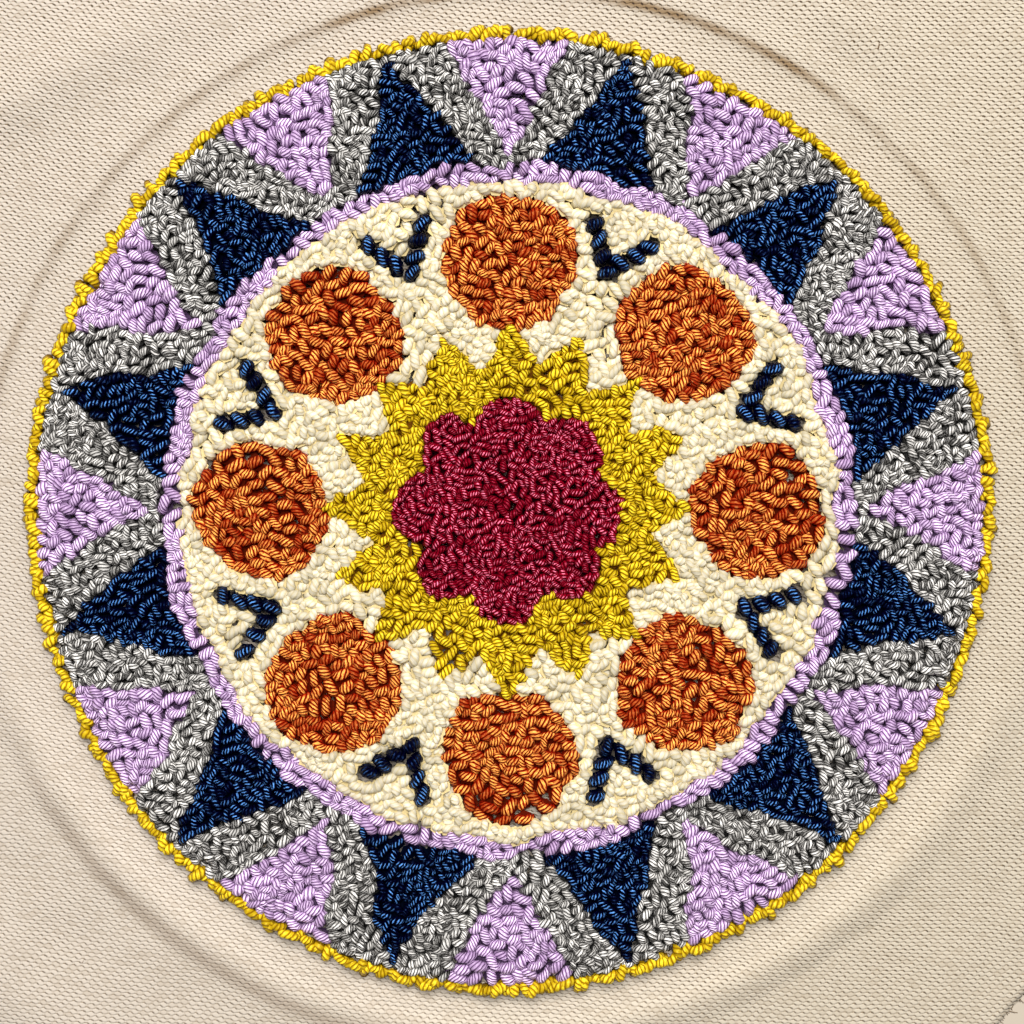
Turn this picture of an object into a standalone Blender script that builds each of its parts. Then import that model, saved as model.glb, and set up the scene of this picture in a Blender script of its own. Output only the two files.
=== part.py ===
"""Punch needle wall piece: a round field of yarn loops on a hand-cut piece of canvas.

Metres, +Z up. The work lies face up with the back of the canvas on z = 0. The middle of the
round pile is at x = y = 0, and +Y is the way up the piece hangs.
"""
import math
import random

import bmesh
import bpy
from mathutils import Vector
from mathutils.geometry import delaunay_2d_cdt

MM = 0.001

# Canvas
CANVAS_THICKNESS = 1.2 * MM
# Each straight cut of the canvas: the way its edge faces, and how far it is from the middle.
CANVAS_CUTS = (
    {"faces_deg": 0.9, "distance_mm": 127.3},
    {"faces_deg": 44.0, "distance_mm": 151.0},
    {"faces_deg": 89.2, "distance_mm": 127.2},
    {"faces_deg": 136.5, "distance_mm": 149.0},
    {"faces_deg": 180.8, "distance_mm": 127.2},
    {"faces_deg": 226.0, "distance_mm": 148.0},
    {"faces_deg": 269.1, "distance_mm": 127.3},
    {"faces_deg": 321.3, "distance_mm": 137.2},
)
POINTS_PER_CUT = 9
CUT_WAVER = 0.45 * MM

# The ring that the hoop pressed into the canvas round the pile: a low crest that falls softly to the
# loose canvas. The canvas has slackened a little, so that the ring is slightly oval.
HOOP_MIDDLE = (0.5 * MM, -0.2 * MM)
HOOP_OVAL = 1.1 * MM
HOOP_OVAL_RUNS_DEG = 16.0
FLAT_RADIUS = 99.3 * MM
HOOP_CREST_RADIUS = 103.3 * MM
HOOP_CREST_HEIGHT = 0.85 * MM
HOOP_FALL_RADIUS = 108.7 * MM
CREASE_RINGS_MM = (98.9, 100.0, 101.2, 102.2, 103.3, 104.4, 105.6, 107.0, 108.9)
OUTER_RING_SHARES = (0.16, 0.33, 0.5, 0.67, 0.84, 1.0)

# Soft folds left in the loose canvas: middle, the way each runs, and its half sizes.
CANVAS_FOLDS = (
    {"x_mm": -84, "y_mm": 87, "runs_deg": 28, "half_length_mm": 28, "half_width_mm": 6, "height_mm": 2.1},
    {"x_mm": -108, "y_mm": 73, "runs_deg": 31, "half_length_mm": 20, "half_width_mm": 6, "height_mm": 1.8},
    {"x_mm": 68, "y_mm": 94, "runs_deg": 135, "half_length_mm": 14, "half_width_mm": 5, "height_mm": 1.3},
    {"x_mm": 104, "y_mm": 90, "runs_deg": 128, "half_length_mm": 24, "half_width_mm": 9, "height_mm": 1.6},
    {"x_mm": -96, "y_mm": -94, "runs_deg": 139, "half_length_mm": 36, "half_width_mm": 10, "height_mm": 2.4},
    {"x_mm": 10, "y_mm": 122, "runs_deg": 4, "half_length_mm": 30, "half_width_mm": 7, "height_mm": 2.0},
    {"x_mm": -121, "y_mm": 12, "runs_deg": 84, "half_length_mm": 34, "half_width_mm": 8, "height_mm": 1.7},
    {"x_mm": 119, "y_mm": -6, "runs_deg": 98, "half_length_mm": 26, "half_width_mm": 7, "height_mm": 1.6},
    {"x_mm": -18, "y_mm": -122, "runs_deg": -6, "half_length_mm": 36, "half_width_mm": 7, "height_mm": 2.1},
)
OUTER_LIFT = 0.4 * MM
OUTER_REST = 0.25 * MM

# Loop pile
SOFT_GAP = 0.3 * MM
PILE_RADIUS = 91.2 * MM
PILE_HEIGHT = 4.7 * MM
PILE_RIM_DROP = 1.5 * MM
PILE_RIM_ROUND = 4.0 * MM
PILE_LUMP = 0.35 * MM
PILE_SWELL = 0.25 * MM
PILE_SWELL_LENGTH = 27.0 * MM
PILE_POINT_SPACING = 3.1 * MM
PILE_POINT_WANDER = 0.5 * MM
RIM_POINTS = 128
# Rings of points that round the rim off: how far in from it each lies
RIM_RINGS_IN_MM = (0.0, 1.1, 2.9)
LATTICE_IN_FROM_RIM = 4.9 * MM
RIM_WAVER = 0.35 * MM

# Raised chevrons of navy loops, one between each two of the eight round motifs
CHEVRON_COUNT = 8
CHEVRON_POINT_RADIUS = 49.0 * MM
CHEVRON_END_RADIUS = 57.5 * MM
CHEVRON_HALF_SPREAD = 6.0 * MM
CHEVRON_HALF_WIDTH = 2.4 * MM
CHEVRON_RISE = 1.0 * MM

# The single row of loops round the rim
EDGE_ROW_WIDTH = 2.7 * MM
EDGE_ROW_HEIGHT = 3.4 * MM
EDGE_ROW_LOOPS = 108
EDGE_ROW_BULGE = 0.4 * MM


def clear_scene():
    for scene_object in list(bpy.data.objects):
        bpy.data.objects.remove(scene_object, do_unlink=True)


def cloth_material(name, colour, roughness):
    material = bpy.data.materials.new(name)
    material.use_nodes = True
    shader = material.node_tree.nodes["Principled BSDF"]
    shader.inputs["Base Color"].default_value = (*colour, 1.0)
    shader.inputs["Roughness"].default_value = roughness
    shader.inputs["Metallic"].default_value = 0.0
    return material


def add_piece(name, shape, material):
    bmesh.ops.recalc_face_normals(shape, faces=shape.faces)
    mesh = bpy.data.meshes.new(name)
    shape.to_mesh(mesh)
    shape.free()
    mesh.shade_smooth()
    mesh.set_sharp_from_angle(angle=math.radians(50))
    mesh.materials.append(material)
    piece = bpy.data.objects.new(name, mesh)
    bpy.context.scene.collection.objects.link(piece)
    return piece


def ring_of_points(shape, points):
    return [shape.verts.new(point) for point in points]


def bridge_rings(shape, inner, outer):
    count = len(inner)
    for index in range(count):
        after = (index + 1) % count
        shape.faces.new((inner[index], outer[index], outer[after], inner[after]))


def smooth_step(value, low, high):
    share = min(max((value - low) / (high - low), 0.0), 1.0)
    return share * share * (3.0 - 2.0 * share)


def cut_corner(first, second):
    """Where two straight cuts of the canvas meet."""
    angle_a = math.radians(first["faces_deg"])
    angle_b = math.radians(second["faces_deg"])
    reach_a = first["distance_mm"] * MM
    reach_b = second["distance_mm"] * MM
    turn = math.sin(angle_b - angle_a)
    x = (reach_a * math.sin(angle_b) - reach_b * math.sin(angle_a)) / turn
    y = (reach_b * math.cos(angle_a) - reach_a * math.cos(angle_b)) / turn
    return x, y


def canvas_outline():
    """The cut edge of the canvas, centred on its own box, with the slight waver of the scissors."""
    count = len(CANVAS_CUTS)
    corners = [cut_corner(CANVAS_CUTS[index - 1], CANVAS_CUTS[index]) for index in range(count)]
    points = []
    for index in range(count):
        start = corners[index]
        end = corners[(index + 1) % count]
        facing = math.radians(CANVAS_CUTS[index]["faces_deg"])
        for step in range(POINTS_PER_CUT):
            share = step / POINTS_PER_CUT
            waver = CUT_WAVER * math.sin(math.pi * share) * math.sin(9.0 * share + 2.0 * index)
            x = start[0] + (end[0] - start[0]) * share + waver * math.cos(facing)
            y = start[1] + (end[1] - start[1]) * share + waver * math.sin(facing)
            points.append((x, y))
    middle_x = (min(x for x, y in points) + max(x for x, y in points)) / 2
    middle_y = (min(y for x, y in points) + max(y for x, y in points)) / 2
    return [(x - middle_x, y - middle_y) for x, y in points]


def hoop_bulge(turn):
    """How far the oval ring stands outside a round one."""
    return HOOP_OVAL * math.cos(2.0 * (turn - math.radians(HOOP_OVAL_RUNS_DEG)))


def hoop_place(ring_radius, turn):
    reach = ring_radius + hoop_bulge(turn)
    return HOOP_MIDDLE[0] + reach * math.cos(turn), HOOP_MIDDLE[1] + reach * math.sin(turn)


def canvas_lift(x, y):
    """How far the back of the canvas stands off the surface: the hoop's ring and the soft folds."""
    off_x = x - HOOP_MIDDLE[0]
    off_y = y - HOOP_MIDDLE[1]
    from_hoop = math.hypot(off_x, off_y) - hoop_bulge(math.atan2(off_y, off_x))
    outside = smooth_step(from_hoop, HOOP_CREST_RADIUS, HOOP_FALL_RADIUS)
    lift = HOOP_CREST_HEIGHT * smooth_step(from_hoop, FLAT_RADIUS, HOOP_CREST_RADIUS) * (1.0 - outside)
    lift += OUTER_REST * outside
    around = math.atan2(y, x)
    lift += OUTER_LIFT * outside * (math.cos(4.0 * around + 0.3) + 0.5 * math.sin(3.0 * around + 2.6))
    for fold in CANVAS_FOLDS:
        runs = math.radians(fold["runs_deg"])
        off_x = x / MM - fold["x_mm"]
        off_y = y / MM - fold["y_mm"]
        along = (off_x * math.cos(runs) + off_y * math.sin(runs)) / fold["half_length_mm"]
        across = (off_y * math.cos(runs) - off_x * math.sin(runs)) / fold["half_width_mm"]
        lift += outside * fold["height_mm"] * MM * math.exp(-along * along - across * across)
    return max(lift, 0.0)


def build_canvas():
    outline = canvas_outline()
    directions = [math.atan2(y - HOOP_MIDDLE[1], x - HOOP_MIDDLE[0]) for x, y in outline]
    rings = []
    for ring_mm in CREASE_RINGS_MM:
        rings.append([hoop_place(ring_mm * MM, turn) for turn in directions])
    last_crease = rings[-1]
    for share in OUTER_RING_SHARES:
        rings.append([
            (near[0] + (far[0] - near[0]) * share, near[1] + (far[1] - near[1]) * share)
            for near, far in zip(last_crease, outline)
        ])
    shape = bmesh.new()
    edge_rings = []
    for thickness in (0.0, CANVAS_THICKNESS):
        side = []
        for ring in rings:
            side.append(ring_of_points(shape, [(x, y, canvas_lift(x, y) + thickness) for x, y in ring]))
        shape.faces.new(side[0])
        for inner, outer in zip(side, side[1:]):
            bridge_rings(shape, inner, outer)
        edge_rings.append(side[-1])
    bridge_rings(shape, edge_rings[0], edge_rings[1])
    return add_piece("backing_cloth", shape, cloth_material("natural_canvas", (0.79, 0.70, 0.56), 0.92))


def rim_radius(base, turn):
    """The rim wanders a little in and out, as a hand-worked round does."""
    return base + RIM_WAVER * (math.sin(3.0 * turn + 0.7) + 0.6 * math.sin(8.0 * turn + 2.0))


def distance_to_line(x, y, start, end):
    run_x = end[0] - start[0]
    run_y = end[1] - start[1]
    share = ((x - start[0]) * run_x + (y - start[1]) * run_y) / (run_x * run_x + run_y * run_y)
    share = min(max(share, 0.0), 1.0)
    return math.hypot(x - start[0] - share * run_x, y - start[1] - share * run_y)


def chevron_rise(x, y):
    """Extra height where a point lies on one of the raised navy chevrons."""
    reach = math.hypot(x, y)
    pitch = 2.0 * math.pi / CHEVRON_COUNT
    turn = (math.atan2(y, x) % pitch) - pitch / 2
    local_x = reach * math.cos(turn)
    local_y = abs(reach * math.sin(turn))
    point = (CHEVRON_POINT_RADIUS, 0.0)
    end = (CHEVRON_END_RADIUS, CHEVRON_HALF_SPREAD)
    off = distance_to_line(local_x, local_y, point, end) / CHEVRON_HALF_WIDTH
    return CHEVRON_RISE * (1.0 - smooth_step(off, 0.45, 1.25))


def pile_top(x, y, rim_at):
    """Height of the loops' crowns over the foot of the pile, without the single loops' unevenness."""
    reach = math.hypot(x, y)
    wave = 2.0 * math.pi / PILE_SWELL_LENGTH
    swell = math.sin(wave * x + 1.1) * math.sin(wave * y)
    rounding = smooth_step(reach, rim_at - PILE_RIM_ROUND, rim_at)
    return PILE_HEIGHT + PILE_SWELL * swell + chevron_rise(x, y) - PILE_RIM_DROP * rounding


def pile_points(unevenness):
    """Places for the points of the pile's top: rings at the rim, then an uneven lattice inside."""
    points = []
    for ring_in_mm in RIM_RINGS_IN_MM:
        for index in range(RIM_POINTS):
            turn = 2.0 * math.pi * index / RIM_POINTS
            reach = rim_radius(PILE_RADIUS, turn) - ring_in_mm * MM
            points.append(Vector((reach * math.cos(turn), reach * math.sin(turn))))
    row_spacing = PILE_POINT_SPACING * math.sqrt(3.0) / 2.0
    rows = int(PILE_RADIUS / row_spacing)
    columns = int(PILE_RADIUS / PILE_POINT_SPACING) + 1
    for row in range(-rows, rows + 1):
        for column in range(-columns, columns + 1):
            x = (column + 0.5 * (row % 2)) * PILE_POINT_SPACING
            y = row * row_spacing
            x += PILE_POINT_WANDER * unevenness.uniform(-1.0, 1.0)
            y += PILE_POINT_WANDER * unevenness.uniform(-1.0, 1.0)
            if math.hypot(x, y) < PILE_RADIUS - LATTICE_IN_FROM_RIM:
                points.append(Vector((x, y)))
    return points


def build_pile():
    foot = CANVAS_THICKNESS + SOFT_GAP
    unevenness = random.Random(11)
    rim_loop = list(range(RIM_POINTS))
    joined = delaunay_2d_cdt(pile_points(unevenness), [], [rim_loop], 1, 1e-7)
    places, triangles, sources = joined[0], joined[2], joined[3]
    shape = bmesh.new()
    top = []
    for place in places:
        rim_at = rim_radius(PILE_RADIUS, math.atan2(place.y, place.x))
        lump = PILE_LUMP * unevenness.uniform(-1.0, 1.0)
        top.append(shape.verts.new((place.x, place.y, foot + pile_top(place.x, place.y, rim_at) + lump)))
    for triangle in triangles:
        shape.faces.new([top[index] for index in triangle])
    rim = [None] * RIM_POINTS
    for vertex, source in zip(top, sources):
        if source[0] < RIM_POINTS:
            rim[source[0]] = vertex
    foot_ring = ring_of_points(shape, [(vertex.co.x, vertex.co.y, foot) for vertex in rim])
    bridge_rings(shape, rim, foot_ring)
    shape.faces.new(foot_ring)
    return add_piece("loop_pile", shape, cloth_material("pile_yarn", (0.46, 0.30, 0.22), 0.7))


def build_edge_row():
    """A ring whose outer side swells once for each pair of loops."""
    foot = CANVAS_THICKNESS + SOFT_GAP
    unevenness = random.Random(23)
    shape = bmesh.new()
    sections = []
    for index in range(2 * EDGE_ROW_LOOPS):
        turn = math.pi * index / EDGE_ROW_LOOPS
        inner = rim_radius(PILE_RADIUS, turn) + SOFT_GAP
        swells_out = EDGE_ROW_BULGE * (1.0 if index % 2 else -1.0) + 0.15 * MM * unevenness.uniform(-1.0, 1.0)
        width = EDGE_ROW_WIDTH + swells_out
        height = EDGE_ROW_HEIGHT + 0.5 * swells_out
        profile = (
            (inner, foot),
            (inner, foot + 0.8 * height),
            (inner + 0.3 * width, foot + height),
            (inner + 0.75 * width, foot + 0.85 * height),
            (inner + width, foot + 0.45 * height),
            (inner + 0.8 * width, foot),
        )
        points = [(reach * math.cos(turn), reach * math.sin(turn), z) for reach, z in profile]
        sections.append(ring_of_points(shape, points))
    for index in range(len(sections)):
        bridge_rings(shape, sections[index], sections[(index + 1) % len(sections)])
    return add_piece("edge_row", shape, cloth_material("edge_yarn", (0.58, 0.39, 0.02), 0.6))


clear_scene()
build_canvas()
build_pile()
build_edge_row()
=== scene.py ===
import math

import bpy
import numpy as np
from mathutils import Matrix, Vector, kdtree


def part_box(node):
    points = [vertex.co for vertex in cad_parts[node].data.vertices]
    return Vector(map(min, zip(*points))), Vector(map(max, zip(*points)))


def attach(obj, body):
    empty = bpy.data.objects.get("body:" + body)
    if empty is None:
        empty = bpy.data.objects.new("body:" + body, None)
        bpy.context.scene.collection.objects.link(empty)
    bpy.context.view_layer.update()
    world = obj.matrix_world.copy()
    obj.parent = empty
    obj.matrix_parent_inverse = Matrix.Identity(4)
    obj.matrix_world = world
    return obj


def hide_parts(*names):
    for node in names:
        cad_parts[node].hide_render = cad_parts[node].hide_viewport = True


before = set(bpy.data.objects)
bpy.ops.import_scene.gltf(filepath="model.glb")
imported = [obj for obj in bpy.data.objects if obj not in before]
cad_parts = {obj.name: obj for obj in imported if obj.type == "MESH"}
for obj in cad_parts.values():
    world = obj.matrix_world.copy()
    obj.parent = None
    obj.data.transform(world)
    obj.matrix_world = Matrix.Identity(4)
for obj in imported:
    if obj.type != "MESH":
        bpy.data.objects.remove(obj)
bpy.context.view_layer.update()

# The view
# The work lies face up and is seen from straight above, with its round nearly filling a square picture.
# The round's middle is a little up and to the left of the picture's.
MM = 0.001
PICTURE_SIDE = 195.0 * MM
PICTURE_MIDDLE = (0.6 * MM, -0.4 * MM)
PICTURE_LENS = 60.0
PICTURE_SENSOR = 36.0
NEAREST_SEEN = 10.0 * MM


def put_in_scene(name, data):
    placed = bpy.data.objects.new(name, data)
    bpy.context.scene.collection.objects.link(placed)
    return placed


pile_low, pile_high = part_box("loop_pile")
view = bpy.data.cameras.new("view_from_above")
view.lens = PICTURE_LENS
view.sensor_width = PICTURE_SENSOR
view.clip_start = NEAREST_SEEN
view_from_above = put_in_scene("view_from_above", view)
view_height = PICTURE_SIDE * PICTURE_LENS / PICTURE_SENSOR
view_from_above.location = (*PICTURE_MIDDLE, pile_high[2] + view_height)
bpy.context.scene.camera = view_from_above

# Backing cloth
# One piece of natural, unbleached cotton canvas in plain weave, trimmed by hand round the work with a raw
# edge. The hoop that held it has pressed a ring into it, and the loose canvas keeps soft folds.
CANVAS_THICKNESS = 0.55
# Each straight cut: the way its edge faces in degrees, and how far it is from the middle.
CANVAS_CUTS = (
    (0.9, 127.3), (44.0, 151.0), (89.2, 127.2), (136.5, 149.0),
    (180.8, 127.2), (226.0, 148.0), (269.1, 127.3), (321.3, 137.2),
)
CUT_STEPS = 42
CUT_WAVER = 0.45
CUT_ROUGHNESS = 0.12
BACK_STITCH_THICKNESS = 0.65
STITCHED_TO_RADIUS = 92.5
LIES_FLAT_FROM_RADIUS = 96.0
HOOP_MIDDLE = (0.5, -0.2)
HOOP_OVAL = 1.1
HOOP_OVAL_RUNS = math.radians(16.0)
FLAT_RADIUS = 99.3
HOOP_CREST_RADIUS = 103.3
HOOP_CREST_HEIGHT = 0.85
HOOP_FALL_RADIUS = 108.7
OUTER_LIFT = 0.4
OUTER_REST = 0.25
RIPPLE_HEIGHT = 0.11
# Each fold: its middle's x and y, the way it runs in degrees, half its length, half its width, its height.
CANVAS_FOLDS = (
    (-84, 87, 28, 28, 6, 2.1),
    (-108, 73, 31, 20, 6, 1.8),
    (68, 94, 135, 14, 5, 1.3),
    (104, 90, 128, 24, 9, 1.6),
    (-96, -94, 139, 36, 10, 2.4),
    (10, 122, 4, 30, 7, 2.0),
    (-121, 12, 84, 34, 8, 1.7),
    (119, -6, 98, 26, 7, 1.6),
    (-18, -122, -6, 36, 7, 2.1),
)
HIDDEN_RINGS = (25.0, 50.0, 72.0, 84.0)
CREASE_RINGS = (*np.arange(90.0, 96.0, 1.0), *np.arange(96.0, 109.6, 0.55))
OUTER_RINGS = 20
WEFT_PITCH = 0.745
WARP_PITCH = 0.81
ROW_SKEW = 0.105
ROW_BOW = 0.00035
COLUMN_SKEW = 0.03
FLOAT_BULGE = 0.17
# How fine each unevenness of the threads is, and how far it reaches.
SLOW_WANDER = (0.05, 2.2)
WEFT_WAVER = (0.9, 0.40)
WARP_WAVER = (0.9, 0.60)
WEAVE_RELIEF = 0.17
CANVAS_ROUGHNESS = 0.85
CANVAS_COLOUR = (0.512, 0.448, 0.378)
CANVAS_WARM_COLOUR = (0.503, 0.440, 0.346)
CANVAS_SHADE_COLOUR = (0.19, 0.125, 0.058)
# Painted shade seen through the pinholes at the floats' ends.
PINHOLE_SHADE_COLOUR = (0.070, 0.040, 0.014)
# A brown stain along the hoop crease, laid on its upper side, where it also stands for the crease's painted
# shade.
BROWN_STAIN_AND_SHADE = (0.48, 0.36, 0.22)
BROWN_STAIN_AND_SHADE_RADIUS = 101.9
BROWN_STAIN_AND_SHADE_HALF_WIDTH = 1.5
# Painted shade: the canvas is greyer on the crease's outer slope towards the lower left.
GREY_PAINTED_SHADE = (0.58, 0.52, 0.47)
GREY_PAINTED_SHADE_RADIUS = 105.5
GREY_PAINTED_SHADE_HALF_WIDTH = 2.6
# Painted light: the canvas inside the crease is made paler towards the bottom.
PAINTED_LIGHT_INSIDE_HOOP = (1.15, 1.15, 1.16)
PAINTED_LIGHT_FADES_OVER = (99.5, 103.0)
THREAD_RINGS = 5
THREAD_SIDES = 3


def smooth_step(value, low, high):
    share = np.clip((value - low) / (high - low), 0.0, 1.0)
    return share * share * (3.0 - 2.0 * share)


def cut_corner(first, second):
    """Where two straight cuts of the canvas meet."""
    (faces_a, reach_a), (faces_b, reach_b) = first, second
    angle_a = math.radians(faces_a)
    angle_b = math.radians(faces_b)
    turn = math.sin(angle_b - angle_a)
    x = (reach_a * math.sin(angle_b) - reach_b * math.sin(angle_a)) / turn
    y = (reach_b * math.cos(angle_a) - reach_a * math.cos(angle_b)) / turn
    return x, y


def canvas_outline():
    """The cut edge of the canvas, in millimetres, centred on its own box."""
    count = len(CANVAS_CUTS)
    corners = [cut_corner(CANVAS_CUTS[index - 1], CANVAS_CUTS[index]) for index in range(count)]
    points = []
    for index, (faces_deg, _) in enumerate(CANVAS_CUTS):
        start = corners[index]
        end = corners[(index + 1) % count]
        facing = math.radians(faces_deg)
        for step in range(CUT_STEPS):
            share = step / CUT_STEPS
            waver = CUT_WAVER * math.sin(math.pi * share) * math.sin(9.0 * share + 2.0 * index)
            x = start[0] + (end[0] - start[0]) * share + waver * math.cos(facing)
            y = start[1] + (end[1] - start[1]) * share + waver * math.sin(facing)
            points.append((x, y))
    outline = np.array(points)
    return outline - (outline.min(axis=0) + outline.max(axis=0)) / 2.0


def hoop_bulge(turn):
    """How far the oval ring stands outside a round one."""
    return HOOP_OVAL * np.cos(2.0 * (turn - HOOP_OVAL_RUNS))


def canvas_lift(x, y):
    """How far the back of the canvas stands off the surface, in millimetres."""
    off_x = x - HOOP_MIDDLE[0]
    off_y = y - HOOP_MIDDLE[1]
    from_hoop = np.hypot(off_x, off_y) - hoop_bulge(np.arctan2(off_y, off_x))
    outside = smooth_step(from_hoop, HOOP_CREST_RADIUS, HOOP_FALL_RADIUS)
    lift = HOOP_CREST_HEIGHT * smooth_step(from_hoop, FLAT_RADIUS, HOOP_CREST_RADIUS) * (1.0 - outside)
    lift += OUTER_REST * outside
    around = np.arctan2(y, x)
    lift += OUTER_LIFT * outside * (np.cos(4.0 * around + 0.3) + 0.5 * np.sin(3.0 * around + 2.6))
    for fold_x, fold_y, runs_deg, half_length, half_width, height in CANVAS_FOLDS:
        runs = math.radians(runs_deg)
        off_x = x - fold_x
        off_y = y - fold_y
        along = (off_x * math.cos(runs) + off_y * math.sin(runs)) / half_length
        across = (off_y * math.cos(runs) - off_x * math.sin(runs)) / half_width
        lift += outside * height * np.exp(-along * along - across * across)
    ripple = np.sin(0.43 * x + 0.21 * y + 1.0) * np.sin(0.37 * y - 0.18 * x) + np.sin(0.16 * x - 0.29 * y)
    lift += RIPPLE_HEIGHT * (ripple + 1.0) * smooth_step(from_hoop, FLAT_RADIUS, HOOP_CREST_RADIUS)
    return np.maximum(lift, 0.0)


def canvas_back(x, y):
    """Height of the back of the canvas: on the surface, or on the flat stitches under the worked round."""
    raised = 1.0 - smooth_step(np.hypot(x, y), STITCHED_TO_RADIUS, LIES_FLAT_FROM_RADIUS)
    return canvas_lift(x, y) + BACK_STITCH_THICKNESS * raised


def make_piece(name, points_mm, faces, material):
    """A named piece from points in millimetres."""
    mesh = bpy.data.meshes.new(name)
    mesh.from_pydata(np.asarray(points_mm) * MM, [], faces)
    mesh.shade_smooth()
    mesh.materials.append(material)
    return put_in_scene(name, mesh)


def lay_out(piece, layer_name, corner_places):
    """Give each corner of each face its place on a flat layout."""
    layer = piece.data.uv_layers.new(name=layer_name)
    layer.data.foreach_set("uv", np.asarray(corner_places, dtype=np.float32).ravel())


def ring_faces(first_ring, second_ring):
    """Faces between two closed rings of point numbers."""
    return np.stack([first_ring, second_ring, np.roll(second_ring, -1), np.roll(first_ring, -1)], axis=1)


def place_node(tree, kind, **settings):
    node = tree.nodes.new(kind)
    for setting, value in settings.items():
        setattr(node, setting, value)
    return node


class Varying:
    """A number, colour or place that changes over a surface. Numbers can be reckoned with as usual."""

    def __init__(self, output):
        self.output = output
        self.tree = output.id_data

    def through(self, kind, *others, **settings):
        """What a node of this kind makes of this and the others, fed in the order of its sockets."""
        node = place_node(self.tree, kind, **settings)
        feed_in_order(node.inputs, (self, *others))
        return Varying(node.outputs[0])

    def reckon(self, operation, *others):
        return self.through("ShaderNodeMath", *others, operation=operation)

    def ease(self, low, high, to_low=0.0, to_high=1.0):
        """A soft step from one value to another as this goes from low to high."""
        return self.through("ShaderNodeMapRange", low, high, to_low, to_high, interpolation_type="SMOOTHSTEP")

    def __add__(self, other):
        return self.reckon("ADD", other)

    def __sub__(self, other):
        return self.reckon("SUBTRACT", other)

    def __mul__(self, other):
        return self.reckon("MULTIPLY", other)

    def __truediv__(self, other):
        return self.reckon("DIVIDE", other)


def feed(socket, value):
    """Link something that varies to a socket, or set the socket to a plain number or colour."""
    if isinstance(value, Varying):
        value.tree.links.new(value.output, socket)
    elif socket.type == "RGBA":
        socket.default_value = (*value, 1.0)
    else:
        socket.default_value = value


def feed_in_order(sockets, values):
    for socket, value in zip(sockets, values):
        feed(socket, value)


def outputs_by_name(node):
    return {output.name: Varying(output) for output in node.outputs}


def blend_colours(share, first, second, way="MIX"):
    node = place_node(share.tree, "ShaderNodeMix", data_type="RGBA", blend_type=way)
    feed(node.inputs[0], share)
    feed(node.inputs[6], first)
    feed(node.inputs[7], second)
    return Varying(node.outputs[2])


def scaled(many, factor):
    """A place or a colour times a number."""
    node = place_node(many.tree, "ShaderNodeVectorMath", operation="SCALE")
    feed(node.inputs[0], many)
    feed(node.inputs["Scale"], factor)
    return Varying(node.outputs[0])


def join_place(x, y, z=0.0):
    return x.through("ShaderNodeCombineXYZ", y, z)


def split_place(place):
    node = place_node(place.tree, "ShaderNodeSeparateXYZ")
    feed(node.inputs[0], place)
    return [Varying(output) for output in node.outputs]


def place_in_mm(tree):
    """The object's own place, its x and its y, in millimetres."""
    coordinates = place_node(tree, "ShaderNodeTexCoord")
    place = scaled(Varying(coordinates.outputs["Object"]), 1.0 / MM)
    x, y, _ = split_place(place)
    return place, x, y


def soft_noise(place, scale, detail=2.0):
    node = place_node(place.tree, "ShaderNodeTexNoise")
    feed(node.inputs["Vector"], place)
    feed(node.inputs["Scale"], scale)
    feed(node.inputs["Detail"], detail)
    return Varying(node.outputs["Fac"])


def unevenness(place, scale, reach):
    """Noise of about this reach to either side of nothing."""
    return (soft_noise(place, scale) - 0.5) * reach


def chance_value(place):
    """One even random value for each separate place."""
    return place.through("ShaderNodeTexWhiteNoise", noise_dimensions="2D")


def new_effect(name, inputs, outputs):
    """A shader node group with named number inputs and number outputs."""
    effect = bpy.data.node_groups.new(name, "ShaderNodeTree")
    for label, value in inputs.items():
        socket = effect.interface.new_socket(label, in_out="INPUT", socket_type="NodeSocketFloat")
        socket.default_value = value
    for label in outputs:
        effect.interface.new_socket(label, in_out="OUTPUT", socket_type="NodeSocketFloat")
    given = outputs_by_name(place_node(effect, "NodeGroupInput"))
    return effect, given, place_node(effect, "NodeGroupOutput").inputs


def use_effect(material, effect, **given):
    """An effect placed in a material with these values: what it puts out, by name."""
    node = place_node(material.node_tree, "ShaderNodeGroup", node_tree=effect)
    for label, value in given.items():
        feed(node.inputs[label], value)
    return outputs_by_name(node)


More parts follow.
